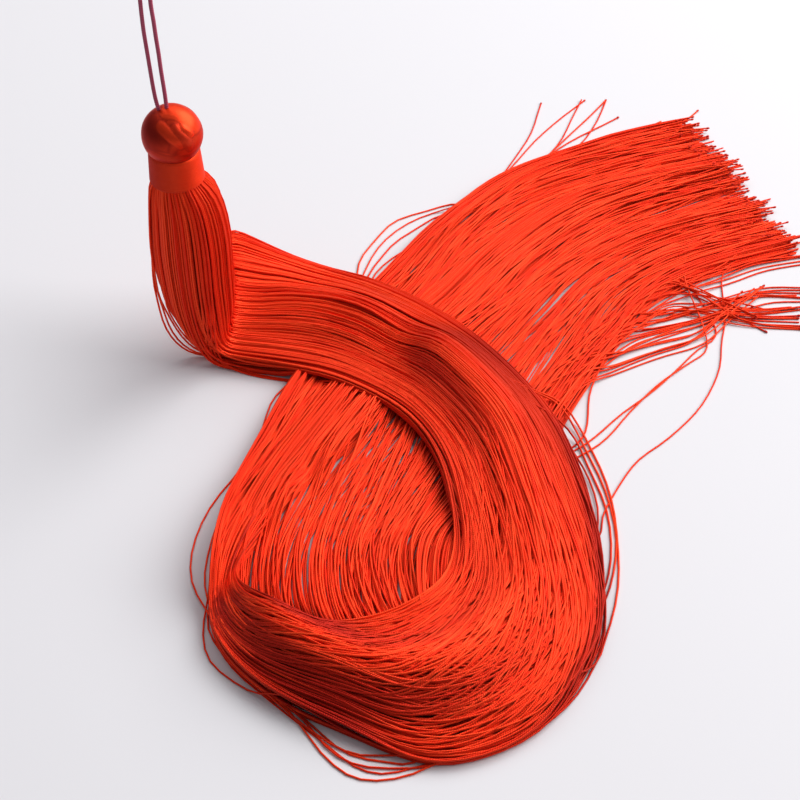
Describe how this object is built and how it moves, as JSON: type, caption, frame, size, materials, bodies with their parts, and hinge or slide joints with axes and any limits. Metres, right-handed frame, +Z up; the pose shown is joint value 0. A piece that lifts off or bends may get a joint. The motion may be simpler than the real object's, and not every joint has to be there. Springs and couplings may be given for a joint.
{
  "type": "silk tassel",
  "caption": "Long silk tassel hung by a thin cord loop: wrapped ball head, bound neck, and a skirt of fine strands lying in a flat loop with loose cut ends.",
  "frame": {"origin": "on the surface, under the middle of the box round the head, neck and skirt", "axes": "+Z up along the hanging head; +Y along the longer side of the lying skirt, towards its loose cut end; +X away from the head across the skirt"},
  "size_m": [0.2366, 0.3182, 0.1535],
  "materials": {
    "cord": "thin twisted cord, dark crimson, dull",
    "floss": "wrapped silk floss, vermilion, satin",
    "strands": "fine plied silk strands, vermilion, soft sheen"
  },
  "bodies": {
    "root": {"hanging_loop": "cord", "head_ball": "floss", "neck_binding": "floss", "skirt": "strands"}
  },
  "joints": []
}
